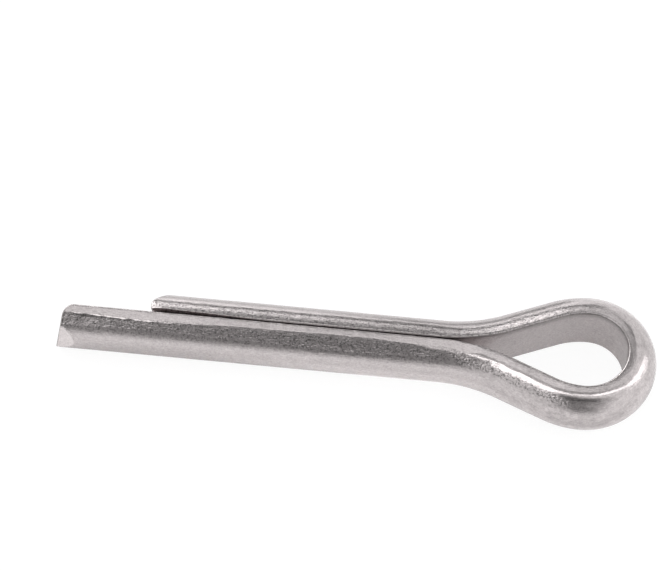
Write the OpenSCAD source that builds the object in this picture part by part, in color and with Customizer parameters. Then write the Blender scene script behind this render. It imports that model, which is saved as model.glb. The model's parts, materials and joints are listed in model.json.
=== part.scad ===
// Extended-prong cotter pin, in millimetres.
//
// One length of half-round wire is folded flat to flat. The fold stands open as
// an eye with sloping shoulders, and the two prongs lie together, so that their
// round sides make up one round shank.
//
// The shank's axis is X, with the prongs towards -X and the eye towards +X. The
// origin is on that axis, where the shoulders begin to leave it. The long prong
// is on the -Y side. The pin lies on its side, as it comes to rest, so the hole
// through the eye is along Z.

/* [Shank] */
// Radius of the round shank that the two prongs make up
shank_r = 3.53; // [3.40:0.01:3.60]
// Radius along the two corners of the wire's section
corner_r = 0.20; // [0.10:0.05:0.60]
// Gap between the flats of the two prongs
gap = 0.12; // [0.04:0.02:0.30]
// Length of the long prong, measured on the shank's axis
long_prong = 43.5; // [38:0.1:50]
// Length of the short prong, at its flat
short_prong = 33.1; // [25:0.1:36]

/* [Eye] */
// Distance from the origin to the inside of the fold
eye_depth = 21.05; // [20.5:0.05:22]
// How far the crown of the fold stands over towards the short prong's side
crown_shift = 0.37; // [0:0.01:0.6]
// Bend where the long side leaves the shank, at the wire's flat
long_shoulder_r = 21.3; // [18:0.1:24]
// Bend at the widest part of the long side, at the wire's flat
long_side_r = 8.26; // [7.5:0.02:9.5]
// Bend from the long side to the crown, at the wire's flat
long_crown_r = 4.71; // [4.3:0.01:4.9]
// Bend where the short side leaves the shank, at the wire's flat
short_shoulder_r = 20.5; // [18:0.1:24]
// Bend at the widest part of the short side, at the wire's flat
short_side_r = 8.70; // [7.5:0.02:9.5]
// Bend from the short side to the crown, at the wire's flat
short_crown_r = 4.30; // [4:0.01:4.6]

/* [Long prong's cut end] */
// Lean of the cut: the bottom of the prong reaches further than the top
cut_lean = 10; // [0:0.5:18]
// Radius of the corner between the cut and the flat
cut_corner_r = 1.5; // [0.6:0.1:2.0]
// Length of the facet that the cut left on the round side
facet_length = 2.0; // [1:0.1:3]
// Depth of that facet at the cut
facet_depth = 0.80; // [0.3:0.05:1.2]
// Place of the facet round the prong, in degrees from the top
facet_turn = 80; // [70:1:100]

/* [Short prong's nose] */
// Radius of the tip, seen from above
tip_r = 1.8; // [1.2:0.1:2.4]
// How far the middle of the tip stands from the shank's axis
tip_shift = 0.75; // [0.3:0.05:0.9]
// Angle of the bevel from the tip back to the round side, against the axis
bevel = 50; // [35:1:60]
// Lean of the nose: the top of the prong reaches further than the bottom
nose_lean = 10; // [0:0.5:15]
// Depth of the bevel worn on the top edge of the flat at the nose
worn_depth = 0.36; // [0.1:0.02:0.6]
// Way that bevel faces, in degrees from the top towards the flat's side
worn_turn = 72; // [40:1:80]
// Length over which that wear fades out along the prong
worn_length = 15; // [8:0.5:25]
// Length over which the top and bottom draw in towards the tip
draw_length = 3.2; // [2:0.1:5]
// How much the top and the bottom each draw in at the tip
draw_depth = 0.25; // [0.15:0.05:0.6]

/* [Hidden] */
$fn = 96;

// The lengths of wire are joined end to end at a thousandth of full size, and
// scaled up once they are one, so that rounding can't open a gap between them.
small = 0.001;
wire_r = small * shank_r;
wire_corner_r = small * corner_r;
half_gap = small * gap / 2;
crown = small * [eye_depth, crown_shift];

// Size of the blocks that trim the ends
reach = 3 * shank_r;
// How far the trimming curves stand proud of the surface that they run out on
clear = 0.05;

// Each half of the wire is a straight prong, a shoulder bend away from the shank,
// a straight run, a side bend back to the shank's direction, and a quarter bend
// to the crown. A half is given as [prong, shoulder_r, side_r, crown_r, crown_y].
long_half = small * [long_prong + reach, long_shoulder_r, long_side_r, long_crown_r, -crown_shift];
short_half = small * [short_prong + reach, short_shoulder_r, short_side_r, short_crown_r, crown_shift];

function shoulder_centre(half) = [0, half_gap + half[1]];
function side_centre(half) = [crown.x - half[3], half[4] + half[3] - half[2]];
// The run is the line that touches both bends, which lie on opposite sides of it.
function run_slope(half) =
    let (d = side_centre(half) - shoulder_centre(half))
    atan2(d.y, d.x) + asin((half[1] + half[2]) / norm(d));
function run_length(half) =
    let (d = side_centre(half) - shoulder_centre(half))
    sqrt(d * d - pow(half[1] + half[2], 2));

// The wire's section, with its flat on the Y axis and its round side towards +X.
// The round side is centred on the shank's axis, half the gap behind the flat.
module section() {
    axis = [-half_gap, 0];
    corner = [wire_corner_r, sqrt(pow(wire_r - wire_corner_r, 2) - pow(half_gap + wire_corner_r, 2))];
    // Where the corner's arc meets the round side, and a point well out on that ray
    touch = axis + (corner - axis) * wire_r / (wire_r - wire_corner_r);
    out = 3 * touch;
    past = 2 * touch - corner;
    intersection() {
        translate(axis) circle(wire_r);
        polygon([[0, 0], out, [out.y, out.y], [out.y, -out.y], [out.x, -out.y]]);
    }
    for (side = [0, 1]) mirror([0, side]) {
        polygon([[0, 0], touch, corner, [0, corner.y]]);
        intersection() {
            translate(corner) circle(wire_corner_r);
            polygon([corner, past, [-wire_corner_r, past.y], [-wire_corner_r, corner.y]]);
        }
    }
}

// Wire bent round the origin from one heading to another, its flat inwards
module bend(flat_r, from, to) {
    rotate_extrude(angle = to - from, start = from) translate([flat_r, 0]) section();
}

// The same, with its flat outwards
module back_bend(flat_r, from, to) {
    rotate_extrude(angle = to - from, start = from) translate([flat_r, 0]) mirror([1, 0]) section();
}

// Straight wire along +X from the origin, its flat towards -Y
module straight(length) {
    rotate([90, 0, 90]) linear_extrude(length) section();
}

// One half of the wire, on the +Y side
module half_wire(half) {
    slope = run_slope(half);
    run_start = shoulder_centre(half) + half[1] * [sin(slope), -cos(slope)];
    translate([-half[0], half_gap]) straight(half[0]);
    translate(shoulder_centre(half)) back_bend(half[1], -90, slope - 90);
    translate(run_start) rotate(slope) straight(run_length(half));
    translate(side_centre(half)) bend(half[2], 90, 90 + slope);
    translate([crown.x - half[3], half[4]]) bend(half[3], 0, 90);
}

// The whole wire at full size, with both prongs still too long
module folded_wire() {
    scale(1 / small) {
        half_wire(short_half);
        mirror([0, 1]) half_wire(long_half);
    }
}

// What the shears took off the long prong. Seen along the lean, the cut is
// square to the prong and runs into a rounded corner at the flat.
module long_offcut() {
    corner = [cut_corner_r, -gap / 2 - cut_corner_r + clear];
    translate([-long_prong, 0]) rotate([0, cut_lean, 0])
    linear_extrude(4 * reach, center = true) difference() {
        translate([-2 * reach, -2 * reach]) square([2 * reach + corner.x, 3 * reach]);
        translate(corner) circle(cut_corner_r);
        translate([0, -3 * reach]) square([reach, 3 * reach + corner.y]);
    }
}

// The flat facet on the round side of the long prong, deepest at the cut
module facet_offcut() {
    rotate([facet_turn, 0, 0]) translate([facet_length - long_prong, 0, shank_r])
    rotate([0, -atan2(facet_depth, facet_length), 0])
    translate([-2 * reach, -reach]) cube([4 * reach, 2 * reach, reach]);
}

// What is beyond the short prong's nose, seen from above: a round tip and a bevel
module beyond_nose_from_above() {
    tip = [tip_r, tip_shift];
    bevel_start = tip + tip_r * [-sin(bevel), cos(bevel)];
    bevel_end = bevel_start + 2 * reach * [cos(bevel), sin(bevel)];
    difference() {
        translate([-2 * reach, 0]) square([3 * reach, 2 * reach]);
        translate(tip) circle(tip_r);
        polygon([tip, bevel_start, bevel_end, [3 * reach, -reach], [tip.x, -reach]]);
    }
}

// The same seen from the side, where the top and the bottom are long curves
module beyond_nose_from_side() {
    curve_r = (pow(draw_length, 2) + pow(draw_depth, 2)) / (2 * draw_depth);
    difference() {
        translate([-reach, -reach]) square([reach + draw_length, 2 * reach]);
        intersection_for(side = [-1, 1]) {
            translate([draw_length, side * (shank_r + clear - curve_r)]) circle(curve_r);
        }
    }
}

// What is worn off the top edge of the short prong's flat: a long thin wedge
module worn_off() {
    edge = sqrt(pow(shank_r, 2) - pow(gap / 2, 2));
    translate([0, gap / 2, edge]) rotate([worn_turn, 0, 0]) translate([0, 0, -worn_depth])
    rotate([0, -atan2(worn_depth, worn_length), 0])
    translate([-reach, -reach]) cube([reach + worn_length, 2 * reach, reach]);
}

module short_offcut() {
    translate([-short_prong, 0]) {
        translate([0, 0, shank_r]) rotate([0, -nose_lean, 0])
        linear_extrude(4 * reach, center = true) beyond_nose_from_above();
        translate([0, 2 * reach]) rotate([90, 0, 0]) linear_extrude(2 * reach) beyond_nose_from_side();
        intersection() {
            worn_off();
            translate([-reach, 0]) cube([3 * reach + worn_length, reach, reach]);
        }
    }
}

module cotter_pin() {
    color("silver") difference() {
        folded_wire();
        long_offcut();
        facet_offcut();
        short_offcut();
    }
}

cotter_pin();
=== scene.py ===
import json
import bpy
import numpy as np
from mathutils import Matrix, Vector


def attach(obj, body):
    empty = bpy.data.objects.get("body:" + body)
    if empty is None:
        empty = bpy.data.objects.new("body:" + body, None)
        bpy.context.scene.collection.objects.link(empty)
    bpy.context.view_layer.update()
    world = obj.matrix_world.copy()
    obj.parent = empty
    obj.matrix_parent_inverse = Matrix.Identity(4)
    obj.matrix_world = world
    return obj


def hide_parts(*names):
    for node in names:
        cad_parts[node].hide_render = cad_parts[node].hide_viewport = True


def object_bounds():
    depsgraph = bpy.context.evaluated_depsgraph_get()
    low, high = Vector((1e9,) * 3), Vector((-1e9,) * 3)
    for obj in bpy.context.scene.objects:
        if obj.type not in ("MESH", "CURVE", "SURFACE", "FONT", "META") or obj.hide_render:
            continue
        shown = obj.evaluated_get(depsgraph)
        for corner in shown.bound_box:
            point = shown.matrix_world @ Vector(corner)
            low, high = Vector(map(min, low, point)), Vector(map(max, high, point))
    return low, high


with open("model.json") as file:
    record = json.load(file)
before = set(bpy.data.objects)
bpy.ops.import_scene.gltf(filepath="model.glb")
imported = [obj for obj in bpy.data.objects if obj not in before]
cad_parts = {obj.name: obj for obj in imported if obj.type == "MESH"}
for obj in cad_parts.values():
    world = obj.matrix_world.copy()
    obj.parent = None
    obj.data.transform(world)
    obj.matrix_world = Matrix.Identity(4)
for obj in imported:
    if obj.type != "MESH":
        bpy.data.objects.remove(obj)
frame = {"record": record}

mm = 0.001
cad_low, cad_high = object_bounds()

# ---- The wire
# One length of half-round steel wire is the whole pin. It is rolled to its section,
# cut from the coil, and folded flat to flat round a former, so that the eye stands
# open and the two prongs lie together as one round shank.

shank = next(m for m in frame["record"]["mounts"] if m["name"] == "shank")
shank_r = shank["dims"]["r_mm"] * mm
corner_r = 0.20 * mm
gap = 0.12 * mm
long_prong = 43.5 * mm
short_prong = 33.1 * mm
eye_depth = 21.05 * mm
crown_shift = 0.37 * mm


def half_of_wire(prong, shoulder, side, crown, crown_y):
    """Lengths and curvatures of half the wire, from its prong's end to the crown. The straight
    run between the shoulder bend and the side bend touches both, on its opposite sides."""
    across = np.array([eye_depth - crown, crown_y + crown - side - gap / 2 - shoulder])
    apart = np.hypot(*across)
    slope = np.arctan2(across[1], across[0]) + np.arcsin((shoulder + side) / apart)
    run = np.sqrt(apart**2 - (shoulder + side) ** 2)
    lengths = [prong, shoulder * slope, run, side * slope, crown * np.pi / 2]
    return lengths, [0, -1 / shoulder, 0, 1 / side, 1 / crown]


long_half = half_of_wire(long_prong, 21.3 * mm, 8.26 * mm, 4.71 * mm, -crown_shift)
short_half = half_of_wire(short_prong, 20.5 * mm, 8.70 * mm, 4.30 * mm, crown_shift)
lengths, curvatures = (np.array(a + b[::-1]) for a, b in zip(long_half, short_half))
# Where each length ends: prong, shoulder, run, side and crown, then the same backwards
joins = np.concatenate([[0], np.cumsum(lengths)])
wire_length = joins[-1]


def wire_line(along):
    """The flat's middle line at distances along the wire: x, y and heading. The heading is the
    sum of curvature times length, softened where one bend runs into the next, and the place
    is the sum of its cosine and sine. What is left open at the end is a hundredth of a
    millimetre, and is shared out along the bends."""
    fine = np.linspace(0, wire_length, 12001)
    step = fine[1]
    softened_over = 0.6 * mm
    heading = np.interp(fine, joins, np.concatenate([[0], np.cumsum(lengths * curvatures)]))
    kernel = np.hanning(2 * int(softened_over / step) + 3)[1:-1]
    padded = np.pad(heading, len(kernel) // 2, mode="edge")
    heading = np.convolve(padded, kernel / kernel.sum(), "valid")
    middle = (heading[1:] + heading[:-1]) / 2
    x = np.concatenate([[0], np.cumsum(np.cos(middle))]) * step - long_prong
    y = np.concatenate([[0], np.cumsum(np.sin(middle))]) * step - gap / 2
    share = np.clip((fine - joins[1]) / (joins[-2] - joins[1]), 0, 1)
    x += (-short_prong - x[-1]) * share
    y += (gap / 2 - y[-1]) * share
    return [np.interp(along, fine, values) for values in (x, y, heading)]


def ramp(value, start, end):
    """Smooth step from 0 at start to 1 at end: t t (3 - 2 t)."""
    t = np.clip((value - start) / (end - start), 0, 1)
    return t * t * (3 - 2 * t)


def between(value, start, end, soft):
    """1 between start and end, falling smoothly to 0 over twice soft at each."""
    return ramp(value, start - soft, start + soft) * (1 - ramp(value, end - soft, end + soft))


def smooth_noise(seed, u, v, size_u, size_v):
    """Value noise from -1 to 1: random numbers on a lattice, joined by smooth steps."""
    period = 256
    lattice = np.random.default_rng(seed).uniform(-1, 1, (period, period))
    a, b = u / size_u, v / size_v
    i, j = np.floor(a).astype(int), np.floor(b).astype(int)
    s, t = ramp(a - i, 0, 1), ramp(b - j, 0, 1)

    def corner(di, dj):
        return lattice[(i + di) % period, (j + dj) % period]

    low = corner(0, 0) * (1 - s) + corner(1, 0) * s
    high = corner(0, 1) * (1 - s) + corner(1, 1) * s
    return low * (1 - t) + high * t


def noise_along(seed, s, size):
    """The same noise with distance along the wire alone, for edges that aren't quite straight."""
    return smooth_noise(seed, s, 0 * s, size, 1)


# The section is taken round from the top of the flat: the top corner, the round side from
# the top to the bottom, the bottom corner, and back up the flat. Turns are from straight up,
# in degrees, and are closest together where the flats meet.
corner_up = np.sqrt((shank_r - corner_r) ** 2 - (gap / 2 + corner_r) ** 2)
start_turn = np.degrees(np.arctan2(gap / 2 + corner_r, corner_up))
round_turn = np.concatenate([
    np.linspace(start_turn, 12, 4, endpoint=False),
    np.linspace(12, 44, 40, endpoint=False),
    np.linspace(44, 180 - start_turn, 38)])
corner_turn = np.radians(np.linspace(-90, start_turn, 8)[:-1])
flat_up = np.linspace(-corner_up, corner_up, 22)[1:-1]

# The bevel worn on the top edge of the short prong's flat, and how far from the nose it runs
top_edge = np.sqrt(shank_r**2 - (gap / 2) ** 2)
worn_turn = np.radians(72)
worn_depth = 0.36 * mm
worn_length = 15 * mm


def pressed(radius, turn, facing, depth):
    """The smaller of the radius and that of a flat pressed into the round side to a depth: the
    shank's radius less the depth, over the cosine of the turn from the way the flat faces."""
    off = np.radians(np.clip(turn - facing, -60, 60))
    return np.minimum(radius, (shank_r - depth) / np.cos(off))


def depth_for(half_width):
    """How deep a flat is that reaches so many degrees to each side. Below 0 it is clear."""
    return shank_r * (1 - np.cos(np.radians(half_width))) * np.sign(half_width)


def section(along):
    """Out from the flat and up, for every distance along and place round. On the round side
    out = radius sin(turn) - gap / 2 and up = radius cos(turn), with the turn from the top.
    Each flat pressed into it faces a turn of its own, and reaches a half width in degrees."""
    s = along[:, None] / mm
    turn = round_turn[None, :]
    radius = np.full((len(along), len(round_turn)), shank_r)
    # The long prong's top is two flats that meet in a ridge, which a narrow flat of its own
    # blunts. All three run out where the shoulder starts. The ridge's turn wanders a little
    ridge = (17 + 4 * ramp(s, 0, 11) - 5 * ramp(s, 11, 22) - 2 * ramp(s, 22, 34)
             + 4 * ramp(s, 35, 41) + 5.5 * ramp(s, 41, 45))
    run_out = 26 * ramp(s, 46, 52)
    ragged = 0.9 * noise_along(13, s, 0.5) + 0.6 * noise_along(14, s, 0.2)
    ragged_depth = 0.018 * mm * ragged * between(s, 13, 41, 3)
    radius = pressed(radius, turn, ridge / 2, depth_for(ridge / 2 - run_out) + ragged_depth)
    outer_flat = 30
    radius = pressed(radius, turn, outer_flat, depth_for(outer_flat - ridge - run_out))
    blunt_flat = 23.4
    blunt = 1.5 + 1.0 * noise_along(11, s, 0.5) - 1.4 * ramp(s, 10, 16) + 1.7 * ramp(s, 39, 43)
    blunt_depth = depth_for(blunt_flat - ridge) + 0.010 * mm * blunt - run_out * mm
    radius = pressed(radius, turn, blunt_flat, blunt_depth)
    # The bend at the shoulder rubbed a flat on its outside, ragged at its edges
    rubbed_flat = 27.3
    rubbed_half = -12 + 16.7 * between(s, 48.6, 56.2, 1.7) + 1.6 * noise_along(12, s, 0.8)
    radius = pressed(radius, turn, rubbed_flat, depth_for(rubbed_half))
    # Folding spread the eye's far side: it stands proud at its inner edge and is low beside it
    spread = np.interp(turn, [4, 15, 24, 31, 40, 75], [0.050, -0.010, -0.048, -0.070, -0.070, 0])
    radius = radius + mm * spread * between(s, 74.5, 91.5, 3.2)
    out_round = radius * np.sin(np.radians(turn)) - gap / 2
    up_round = radius * np.cos(np.radians(turn))
    count = len(along)
    drop = shank_r - radius[:, :1]
    top_out = np.tile(corner_r + corner_r * np.sin(corner_turn), (count, 1))
    top_up = corner_up + corner_r * np.cos(corner_turn) - drop
    low_up = np.tile(-corner_up - corner_r * np.cos(corner_turn[::-1]), (count, 1))
    flat_out = np.zeros((count, len(flat_up)))
    out = np.concatenate([top_out, out_round, top_out[:, ::-1], flat_out], axis=1)
    up = np.concatenate([top_up, up_round, low_up, np.tile(flat_up, (count, 1))], axis=1)
    # The top edge of the short prong's flat is worn off towards its nose, in a steep bevel
    from_nose = (wire_length - along[:, None]) / worn_length
    limit = top_edge * np.cos(worn_turn) - worn_depth * (1 - from_nose)
    over = np.maximum(up * np.cos(worn_turn) - out * np.sin(worn_turn) - limit, 0) * (from_nose < 1)
    return out + over * np.sin(worn_turn), up - over * np.cos(worn_turn)


# Stations along the wire lie closer together near its ends
near_end = 4 * mm
stations = np.concatenate([
    np.linspace(0, near_end, 44, endpoint=False),
    np.linspace(near_end, wire_length - near_end, 700, endpoint=False),
    np.linspace(wire_length - near_end, wire_length, 45)])
line_x, line_y, heading = (values[:, None] for values in wire_line(stations))
out, up = section(stations)

# Distance round the section and along the wire, for the marks that follow the wire
round_steps = np.hypot(np.diff(out, axis=1), np.diff(up, axis=1))
around = np.concatenate([np.zeros((len(stations), 1)), np.cumsum(round_steps, axis=1)], axis=1)
along = np.broadcast_to(stations[:, None], around.shape)

# Low dents and waves that rolling and bending left, a few thousandths of a millimetre deep
waves = 0.004 * mm * smooth_noise(3, along, around, 2.6 * mm, 0.9 * mm)
waves += 0.003 * mm * smooth_noise(4, along, around, 0.9 * mm, 0.5 * mm)
middle_out = 0.45 * shank_r
scale = 1 + waves / shank_r
out_shaped = np.where(out > 0, middle_out + (out - middle_out) * scale, out)
up_shaped = up * scale
x = line_x + np.sin(heading) * out_shaped
y = line_y - np.cos(heading) * out_shaped
z = up_shaped

# The long prong's end is sheared. The cut leans, and its corner at the flat is rounded
cut_lean = np.tan(np.radians(10))
cut_corner_r = 1.5 * mm
cut_corner_y = -gap / 2 - cut_corner_r + 0.05 * mm


def long_cut(y, z):
    """x of the cut: a plane leaning with z, and a quarter circle towards the flat, which stops
    a hair short of its end."""
    past = np.clip(y - cut_corner_y, 0, cut_corner_r * 0.9995)
    return -long_prong + z * cut_lean + cut_corner_r - np.sqrt(cut_corner_r**2 - past**2)


# The short prong's nose is a round tip and a bevel
tip_r = 1.8 * mm
tip_shift = 0.75 * mm
bevel = np.radians(50)
nose_lean = np.tan(np.radians(10))
bevel_from = tip_shift + tip_r * np.cos(bevel)


def short_nose(y, z):
    """x of the nose: a circle round the tip, and a straight bevel from there to the side. Both
    lean, so that the top reaches furthest."""
    tip = tip_r - np.sqrt(np.maximum(tip_r**2 - (y - tip_shift) ** 2, 0))
    side = tip_r - tip_r * np.sin(bevel) + (y - bevel_from) / np.tan(bevel)
    return -short_prong + (shank_r - z) * nose_lean + np.where(y < bevel_from, tip, side)


# Both ends' outlines are carried into the wire, and die out over a few millimetres
edge_r = 0.10 * mm
taper = 7 * mm
on_long_end = np.clip(1 - along / taper, 0, 1)
on_short_end = np.clip(1 - (wire_length - along) / taper, 0, 1)

# The half-moon facet that the shear left, and how the nose's top and bottom draw in
facet_turn = np.radians(80)
facet_length = 2.0 * mm
facet_depth = 0.80 * mm
draw_length = 3.2 * mm
draw_depth = 0.25 * mm
clear = 0.05 * mm


def trim(x, y, z):
    """What the cuts took off near the ends: the half-moon facet on the long prong, as a move
    straight in to its plane, and the drawn-in top and bottom of the short prong's nose."""
    in_y, in_z = np.sin(facet_turn), -np.cos(facet_turn)
    height = -(y * in_y + z * in_z) - shank_r
    past = height - (x + long_prong - facet_length) * facet_depth / facet_length
    soft = 0.015 * mm
    past = (past + np.sqrt(past**2 + soft**2)) / 2 * (x < 0)
    past *= ramp(x, -long_prong + 5 * mm, -long_prong + 3 * mm)
    curve_r = (draw_length**2 + draw_depth**2) / (2 * draw_depth)
    back = np.clip(draw_length - (x + short_prong), 0, draw_length)
    limit = shank_r + clear - curve_r + np.sqrt(curve_r**2 - back**2)
    drawn = np.where((y > 0) & (x < draw_length - short_prong), np.clip(z, -limit, limit), z)
    return y + in_y * past, drawn + in_z * past, past


# The cuts move x and the trims move y and z, so a few rounds settle them together
rounds = 4
plain_x, plain_y, plain_z = x, y, z
for _ in range(rounds):
    x = plain_x + (long_cut(y, z) + edge_r + long_prong) * on_long_end
    x = x + (short_nose(y, z) + edge_r + short_prong) * on_short_end
    y, z, past = trim(x, plain_y, plain_z)


def end_rings(ring, surface):
    """Rings from an end of the wire in to its middle: a quarter circle that takes the sharpness
    off the edge, then rings that shrink towards the middle on the end's own surface."""
    middle = np.array([ring[:, 1].mean(), 0])
    arms = ring[:, 1:] - middle
    reach = np.hypot(*arms.T)[:, None]
    turn = np.radians([30, 60, 90])
    insets = [edge_r * (1 - np.cos(t)) / reach for t in turn]
    backs = [edge_r * (1 - np.sin(t)) for t in turn]
    for share in np.linspace(0, 0.97, 9)[1:]:
        insets.append(edge_r / reach + share * (1 - edge_r / reach))
        backs.append(0)
    rings = []
    for inset, back in zip(insets, backs):
        place = middle + arms * (1 - inset)
        rings.append(np.column_stack([surface(*place.T) + back, place]))
    return rings


def put_together(grid, start_cap, end_cap):
    """One closed skin: quads along and round the grid, quads over the rings of each cap, and a
    fan of triangles at each cap's middle. Each face's corners are given so that it faces out."""
    rings, points = grid.shape[:2]
    here = np.arange(points)
    beside = np.roll(here, -1)

    def band(first, second):
        return np.stack([first + here, first + beside, second + beside, second + here], axis=-1)

    row = np.arange(rings - 1)[:, None, None] * points
    quads = [(band(0, points)[None] + row).reshape(-1, 4)]
    fans = []
    vertices = [grid.reshape(-1, 3)]
    total = rings * points
    for cap, outer, flip in ((start_cap, 0, True), (end_cap, (rings - 1) * points, False)):
        for ring in cap:
            faces = band(outer, total)
            quads.append(faces[:, ::-1] if flip else faces)
            vertices.append(ring)
            outer, total = total, total + points
        vertices.append(cap[-1].mean(axis=0)[None])
        fan = np.stack([outer + here, outer + beside, np.full(points, total)], axis=-1)
        fans.append(fan[:, ::-1] if flip else fan)
        total += 1
    return np.concatenate(vertices), np.concatenate(quads), np.concatenate(fans)


grid = np.stack([x, y, z], axis=-1)
start_cap = end_rings(grid[0], long_cut)
end_cap = end_rings(grid[-1], short_nose)
vertices, quads, fans = put_together(grid, start_cap, end_cap)

mesh = bpy.data.meshes.new("cotter_pin_wire")
corners = np.concatenate([quads.ravel(), fans.ravel()])
sizes = np.concatenate([np.full(len(quads), 4), np.full(len(fans), 3)])
mesh.vertices.add(len(vertices))
mesh.vertices.foreach_set("co", vertices.ravel())
mesh.loops.add(len(corners))
mesh.loops.foreach_set("vertex_index", corners)
mesh.polygons.add(len(sizes))
mesh.polygons.foreach_set("loop_start", np.concatenate([[0], np.cumsum(sizes)[:-1]]))
mesh.polygons.foreach_set("use_smooth", np.ones(len(sizes), bool))
mesh.update(calc_edges=True)
mesh.validate()

# The wire's own map: millimetres along it and round it. The last strip of the flat, which
# closes the section, carries on past the first point. The caps take theirs from y and z.
section_points = grid.shape[1]
wire_map = np.stack([along, around], axis=-1).reshape(-1, 2) / mm
cap_map = vertices[len(wire_map):, 1:] / mm + [0, 40]
flat_map = np.concatenate([wire_map, cap_map])[corners]
sweep = 4 * (len(stations) - 1) * section_points
closing = (corners[:sweep] % section_points == 0).reshape(-1, 4)
last = np.zeros_like(closing)
last[section_points - 1::section_points] = closing[section_points - 1::section_points]
closing_strip = 0.25
turn_length = around[:, -1].max() / mm + closing_strip
flat_map[:sweep, 1] += last.ravel() * turn_length
mesh.uv_layers.new(name="wire_map").data.foreach_set("uv", flat_map.ravel())

# Marks for the finish. Bending roughened the skin on the outside of the shoulder, and rubbed
# the bends and the ridge bright. Dark freckles lie on the short prong and on the long prong's
# front. The eye's inner edge and a band on the long prong's front get painted shade, a darker
# tone that stands in for dark reflections.
s = along / mm
turn_there = np.degrees(np.arctan2(out + gap / 2, up))
off_flat = ramp(out, 0.02 * mm, 0.10 * mm)
on_flat_edge = ramp(up, 2.4 * mm, 3.3 * mm) * ramp(out, 0.16 * mm, 0.10 * mm)
orange_peel = between(s, 46, 60, 2.5) * between(turn_there, 30, 47, 3)
short_freckles = 0.9 * ramp(s, 72, 78) * ramp(turn_there, 32, 20) * off_flat
long_freckles = 0.85 * ramp(turn_there, 15, 22) * ramp(turn_there, 60, 40) * ramp(s, 50, 44)
rubbed_bend = between(s, 47, 72, 1.5) * between(turn_there, 14, 35, 3)
rubbed_ridge = between(s, 1, 12, 2) * between(turn_there, 17, 24, 1.5)
rubbed_far_side = 0.35 * ramp(s, 72, 78) * between(turn_there, 19, 48, 3)
# Painted shade: the eye's inner edge and a band on the long prong's front are made darker, for dark
# reflections there
painted_shade_eye_edge = between(s, 68, 91, 4) * on_flat_edge
painted_shade_front_band = 0.36 * between(turn_there, 20, 38, 4) * ramp(s, 48, 42)
# Each mark has its values over the skin, and its one value on the end caps
marks = {
    "sheared": (np.clip(past / (0.03 * mm), 0, 1), 1),
    "peel": (orange_peel, 0),
    "freckled": (orange_peel + short_freckles + long_freckles, 0),
    "rubbed": (rubbed_bend + rubbed_ridge + rubbed_far_side, 0),
    "bent": (between(s, 50, 73, 5), 0),
    "stained": (painted_shade_eye_edge + painted_shade_front_band, 0),
    "cut_edge": (ramp(s, 0.30, 0.05) * between(turn_there, 14, 46, 3), 1),
}
for name, (on_skin, on_caps) in marks.items():
    values = np.concatenate([on_skin.ravel(), np.full(len(cap_map), on_caps)])
    mesh.attributes.new(name, "FLOAT", "POINT").data.foreach_set("value", values)

pin = bpy.data.objects.new("cotter_pin_wire", mesh)
bpy.context.scene.collection.objects.link(pin)
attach(pin, "root")
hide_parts("cotter_pin")


class Socket:
    """An output of a node. Sums of it with numbers or with other outputs add Math nodes."""

    def __init__(self, tree, output=None):
        self.tree, self.output = tree, output

    def node(self, kind, settings=None, output=0, **inputs):
        """Adds a node, sets its settings, then gives its inputs values or links. An input goes
        by its name, with _ for a space, or by its place, such as _0."""
        made = self.tree.nodes.new("ShaderNode" + kind)
        for name, value in (settings or {}).items():
            setattr(made, name, value)
        for name, value in inputs.items():
            at = int(name[1:]) if name[0] == "_" else name.replace("_", " ")
            if isinstance(value, Socket):
                self.tree.links.new(value.output, made.inputs[at])
            else:
                made.inputs[at].default_value = value
        return Socket(self.tree, made.outputs[output] if made.outputs else None)

    def sum(self, operation, *values):
        """A Math node on up to three values."""
        places = {f"_{i}": value for i, value in enumerate(values)}
        return self.node("Math", {"operation": operation}, **places)

    def step(self, start, end, low=0.0, high=1.0):
        """Smooth step from low, where this is at start, to high, where it is at end."""
        return self.node("MapRange", {"interpolation_type": "SMOOTHSTEP"}, Value=self,
                         From_Min=start, From_Max=end, To_Min=low, To_Max=high)

    def __add__(self, other):
        return self.sum("ADD", self, other)

    def __sub__(self, other):
        return self.sum("SUBTRACT", self, other)

    def __rsub__(self, other):
        return self.sum("SUBTRACT", other, self)

    def __mul__(self, other):
        return self.sum("MULTIPLY", self, other)

    def __truediv__(self, other):
        return self.sum("DIVIDE", self, other)

    def __abs__(self):
        return self.sum("ABSOLUTE", self)

    __radd__ = __add__
    __rmul__ = __mul__


# Bare drawn steel, as it comes from rolling, bending and shearing
steel = bpy.data.materials.new("drawn_steel_wire")
steel.use_nodes = True
steel.node_tree.nodes.clear()
finish = Socket(steel.node_tree)
place = finish.node("TexCoord", output="Object")
wire_place = finish.node("UVMap", {"uv_map": "wire_map"})


def mark(name):
    """One of the marks on the wire."""
    return finish.node("Attribute", {"attribute_name": name}, "Fac")


def grain(vector, size, stretch=(1, 1, 1), detail=2.0, rough=0.55):
    """Noise from 0 to 1 whose grains are about one size across, or longer where stretched."""
    stretched = finish.node("VectorMath", {"operation": "MULTIPLY"}, _0=vector, _1=stretch)
    return finish.node("TexNoise", Vector=stretched, Scale=1 / size, Detail=detail, Roughness=rough)


sheared = mark("sheared")
peel = mark("peel")
freckled = mark("freckled")
rubbed = mark("rubbed")
bent = mark("bent")
stained = mark("stained")
cut_edge = mark("cut_edge")

pits = grain(place, 0.18 * mm)
freckles = grain(place, 0.24 * mm)
mottle = grain(place, 0.6 * mm, detail=3.0)
swell = grain(place, 1.3 * mm, detail=1.0)
patches = grain(place, 1.8 * mm, detail=3.0)
shear_marks = grain(place, 0.14 * mm, (1, 0.12, 1), detail=2.0)
# The wire's own map is in millimetres
draw_marks = grain(wire_place, 0.12, (0.20, 1, 1), detail=3.0)

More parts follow.
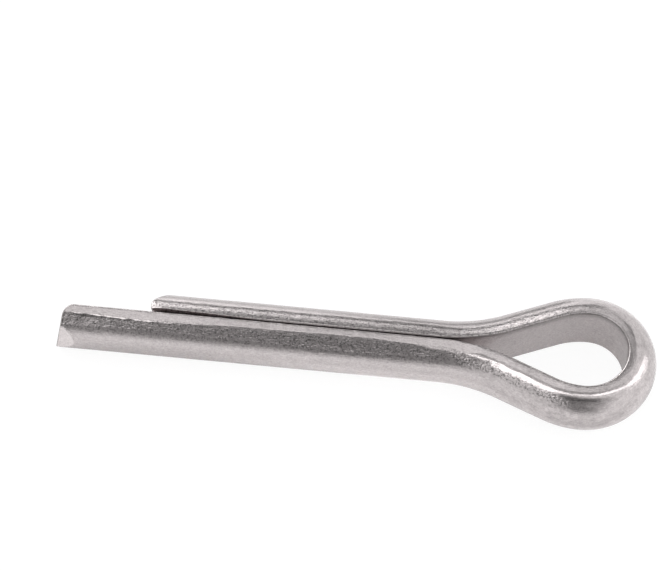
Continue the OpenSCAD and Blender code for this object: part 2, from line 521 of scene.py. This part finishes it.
# The skin's relief in millimetres, worn down where it is rubbed, and the sheared faces' own
relief = 0.023 * (pits - 0.5) + 0.024 * (swell - 0.5) + 0.011 * (draw_marks - 0.5)
relief = relief + 0.055 * peel * (freckles - 0.5)
height = relief * (1 - sheared) * (1 - 0.75 * rubbed) + 0.008 * (shear_marks - 0.5) * sheared
bump = finish.node("Bump", Height=height, Distance=mm, Strength=1.0)

# How bright the steel is: blotched at the bends, streaked along the wire, and darker in the
# hollows and at the cut's edge. Painted shade darkens the long prong's front band and the eye's
# inner edge, standing in for dark reflections
hollows = freckles.step(0.49, 0.38)
tone = 0.38 + (0.12 + 0.26 * bent) * (patches - 0.5) + (0.08 + 0.50 * bent) * (mottle - 0.5)
tone = tone + 0.60 * pits + 0.64 * draw_marks + 0.26 * sheared
tone = tone * (1 - hollows * (0.08 + 0.45 * freckled)) * (1 - 0.05 * bent)
# Painted shade on the long prong's front band and the eye's inner edge
tone = tone * (1 - 0.45 * cut_edge - 0.35 * stained)
steel_color = (0.630, 0.586, 0.585)
color = finish.node("VectorMath", {"operation": "SCALE"}, _0=steel_color, Scale=tone)

# A polished skin with a share of dull metal in it, larger where it is sheared
polish = 0.10 + 0.05 * patches - 0.05 * rubbed
clean = finish.node("BsdfPrincipled", Base_Color=color, Metallic=1.0, Roughness=polish, Normal=bump)
dull = finish.node("BsdfPrincipled", Base_Color=color, Metallic=1.0, Roughness=0.33, Normal=bump)
dull_share = 0.30 + 0.30 * sheared
finish.node("OutputMaterial", Surface=finish.node("MixShader", _0=dull_share, _1=clean, _2=dull))
mesh.materials.append(steel)

# ---- The table
# A plain white table top, matt, on which the pin lies. Dark patches painted on it show in
# the pin's reflections only, as painted reflections of dark things lying behind it.

table_half = 1200 * mm
table_mesh = bpy.data.meshes.new("table_top")
table_corners = [(-1, -1), (1, -1), (1, 1), (-1, 1)]
table_vertices = [(a * table_half, b * table_half, cad_low.z) for a, b in table_corners]
table_mesh.from_pydata(table_vertices, [], [(0, 1, 2, 3)])
table = bpy.data.objects.new("table_top", table_mesh)
bpy.context.scene.collection.objects.link(table)
white = bpy.data.materials.new("white_table")
white.use_nodes = True
white.node_tree.nodes.clear()
top = Socket(white.node_tree)
camera_ray = top.node("LightPath", output="Is Camera Ray")
glossy_ray = top.node("LightPath", output="Is Glossy Ray")
on_table = top.node("TexCoord", output="Object")
split = top.node("SeparateXYZ", Vector=on_table).output.node
table_x, table_y = (Socket(top.tree, output) for output in split.outputs[:2])

# Painted dark reflections, seen in glossy rays only, stand for dark things behind the pin: one
# behind the eye, set aslant, and one behind the prongs
aslant = table_x + 0.16 * table_y
behind_eye = table_y.step(22 * mm, 33 * mm) * aslant.step(-3 * mm, 2 * mm)
behind_eye = behind_eye * aslant.step(20 * mm, 15 * mm)
behind_prongs = abs(table_y - 22 * mm).step(6.5 * mm, 2 * mm) * aslant.step(2 * mm, -3 * mm)
painted_dark_reflections = top.sum("MAXIMUM", behind_eye, behind_prongs * 0.5)
# In reflections the table is painted darker over these patches
matt_tone = 0.86 * (1 - 0.8 * glossy_ray * painted_dark_reflections)
matt_color = top.node("CombineXYZ", _0=matt_tone, _1=matt_tone, _2=matt_tone)
matt = top.node("BsdfDiffuse", Color=matt_color)

# The table glows a little in reflections. It glows less close by, and more round the eye's
# right side, under the pin's front edge and inside the eye
close_by = abs(table_y).step(40 * mm, 15 * mm)
by_eye = (table_x + 0.6 * table_y).step(24 * mm, 27 * mm) * table_x.step(29 * mm, 26 * mm)
by_eye = by_eye * table_y.step(-1 * mm, 3 * mm) * table_y.step(26 * mm, 18 * mm)
in_front = abs(table_y + 6 * mm).step(4 * mm, 2 * mm) * table_x.step(-32 * mm, -10 * mm)
in_eye = abs(table_y - 2 * mm).step(6 * mm, 4 * mm) * table_x.step(-12 * mm, -8 * mm)
in_eye = in_eye * (0.10 + 0.55 * table_x.step(10 * mm, -2 * mm))
glow_strength = 0.20 - 0.08 * close_by + 0.22 * by_eye + (0.25 * in_front + in_eye)
glow_strength = glossy_ray * glow_strength * (1 - painted_dark_reflections)
glow = top.node("Emission", Color=(1, 1, 1, 1), Strength=glow_strength)
lit = top.node("AddShader", _0=matt, _1=glow)

# Seen straight, most of it is plain white, and the rest keeps the pin's shadow
plain = top.node("Emission", Color=(1, 1, 1, 1), Strength=1.12)
seen_plain = 0.80 * camera_ray
top.node("OutputMaterial", Surface=top.node("MixShader", _0=seen_plain, _1=lit, _2=plain))
table_mesh.materials.append(white)

# ---- The light
# An even white tent all round, with bright panels in it and the grey of the room where it is
# open: in front, where one stands to look in, and in a slot high at the back.

world = bpy.data.worlds.new("white_tent")
bpy.context.scene.world = world
world.use_nodes = True
world.node_tree.nodes.clear()
tent = Socket(world.node_tree)
toward = tent.node("TexCoord", output="Generated")
split = tent.node("SeparateXYZ", Vector=toward).output.node
toward_x, toward_y, toward_z = (Socket(tent.tree, output) for output in split.outputs)
# Degrees from straight up, laid out as a map: u to the right, v to the back
lean = tent.sum("ARCCOSINE", toward_z) * (180 / np.pi)
tiny = 1e-9
level_part = tent.sum("SQRT", toward_x * toward_x + toward_y * toward_y + tiny)
u = toward_x / level_part * lean
v = toward_y / level_part * lean


def inside(value, low, high, soft):
    """1 between low and high, with an edge twice soft wide."""
    return value.step(low - soft, low + soft) * value.step(high - soft, high + soft, 1.0, 0.0)


base = 0.895
darkest = 0.04

# The opening in front reaches further left low down, is darkest in its middle, and shows the
# room as grey layers
left_reach = -17 - 11 * v.step(-38, -52)
wide = (u - left_reach).step(-6, 6) * u.step(43, 31)
middle = inside(u, -15, 19, 6)
opening = (wide * 0.36 + middle * 0.38) * v.step(-92, -66) * v.step(-22.5, -27.5)
layers = tent.node("CombineXYZ", _0=u / 60, _1=v / 7)
layers = tent.node("TexNoise", Vector=layers, Scale=1.0, Detail=2.0)
under_rim = inside(v, -40, -21, 1.5) * inside(u, -12, 30, 5)
light = base - opening * (1.25 - 0.5 * layers) - under_rim * 0.14
# One patch of it is paler, and so is the tent right overhead
light = light + inside(v, -60, -36, 4) * inside(u, -1, 19, 3) * 0.20
light = light + inside(v, -5, 15, 2) * inside(u, -14, 4, 3) * 0.14

# The right wall is brighter in front and darker behind
right_wall = u.step(45, 60)
light = light + right_wall * (v.step(32, 2) * 0.15 - v.step(25, 50) * 0.12)

# The slot at the back reaches further left in its upper part. A pale tongue comes up into it
slot_left = -8 - 5 * v.step(53, 49)
slot = inside(v, 17, 56, 2.0) * (u - slot_left).step(-1.5, 1.5) * u.step(34.5, 31.5)
slot = slot * (1 - v.step(28, 32) * inside(u, 3, 20, 2))
light = light - slot * u.step(14, 22, 0.84, 0.60)
# Below it are a dark curl of cloth, and a slit that is narrower at its left end
light = light - abs(u - 17).step(7, 3) * inside(v, 53, 68, 2) * 0.5
slit_line = 74.5 + 0.5 * u.step(-6, -9)
slit_half = 8.2 - 3.2 * u.step(-6, -9)
light = light - (abs(v - slit_line) / slit_half).step(1.2, 0.75) * u.step(14, 8) * 0.9
light = tent.sum("MAXIMUM", light, darkest)

# The panel over the opening is bent like a bow and broad at its left end, with a dark frame
# above it
panel_line = -16 + 0.30 * u - 0.0026 * u * u
panel_half = (1.0 + 0.7 * u.step(-3, -6) + 3.9 * u.step(-13, -19) + 1.8 * u.step(6, 16)
              - 1.0 * u.step(32, 38))
above = v - panel_line
panel = (abs(above) / panel_half).step(1.15, 0.85) * inside(u, -30, 44, 2)
frame_above = inside(above, 3.6, 12, 1.0) * inside(u, -14, 36, 2) * u.step(12, 24, 0.60, 0.35)
light = light - frame_above

# The left wall is grey
light = light - inside(u, -115, -58, 8) * inside(v, -20, 60, 8) * 0.5

# A window in the right wall, bent in the middle
from_bend = v - 9
window_line = 62 + tent.sum("MINIMUM", 0.8 * from_bend, 0.4 * from_bend)
window = abs(u - window_line).step(10.5, 7.5) * inside(v, -8, 34, 3) * v.step(15, 24, 1.6, 1.0)

# Bright gaps at the back: a streak between the slot and the slit, a gap over its left end, a
# wide one left of the slot, and a low one under the slit
streak = inside(v, 59, 66, 1.5) * inside(u, -26, 10, 3) * u.step(-6, -3.5, 1.15, 0.25)
gap_low = 54 - 8 * u.step(-13, -17)
left_gap = (v - gap_low).step(-2, 2) * v.step(63, 59) * inside(u, -36, -8, 1.5)
left_gap = left_gap * u.step(-11, -15, 1.2, 2.2)
far_gap = inside(u, -50, -16, 2) * inside(v, 24, 62, 3) * 1.5
low_gap = inside(v, 84, 92, 1.5) * (0.6 + 0.9 * inside(u, -24, -6, 2)) * u.step(6, 2)
light = light + low_gap
light = light + tent.sum("MAXIMUM", panel * 1.85, window) + streak + (left_gap + far_gap)

# Seen straight, it is plain white
camera_ray = tent.node("LightPath", output="Is Camera Ray")
light = light * (1 - camera_ray) + camera_ray
tent_surface = tent.node("Background", Color=(1, 1, 1, 1), Strength=light)
tent.node("OutputWorld", Surface=tent_surface)

# ---- The camera
# It stands in front of the pin and a little to its right, and looks down on it from about
# 300 mm away, through a long lens.

azimuth = np.radians(6.0)
elevation = np.radians(61.43)
away = 298.84 * mm
aim = Vector((-13.15 * mm, 9.11 * mm, cad_low.z))
level = np.cos(elevation)
back_to_camera = Vector((np.sin(azimuth) * level, -np.cos(azimuth) * level, np.sin(elevation)))
camera = bpy.data.objects.new("camera", bpy.data.cameras.new("camera"))
bpy.context.scene.collection.objects.link(camera)
camera.location = aim + back_to_camera * away
camera.rotation_euler = back_to_camera.to_track_quat("Z", "Y").to_euler()
camera.data.sensor_width = 36
camera.data.lens = 138.06
camera.data.clip_start = 1 * mm
camera.data.clip_end = 10
bpy.context.scene.camera = camera
bpy.context.scene.view_settings.view_transform = "Standard"
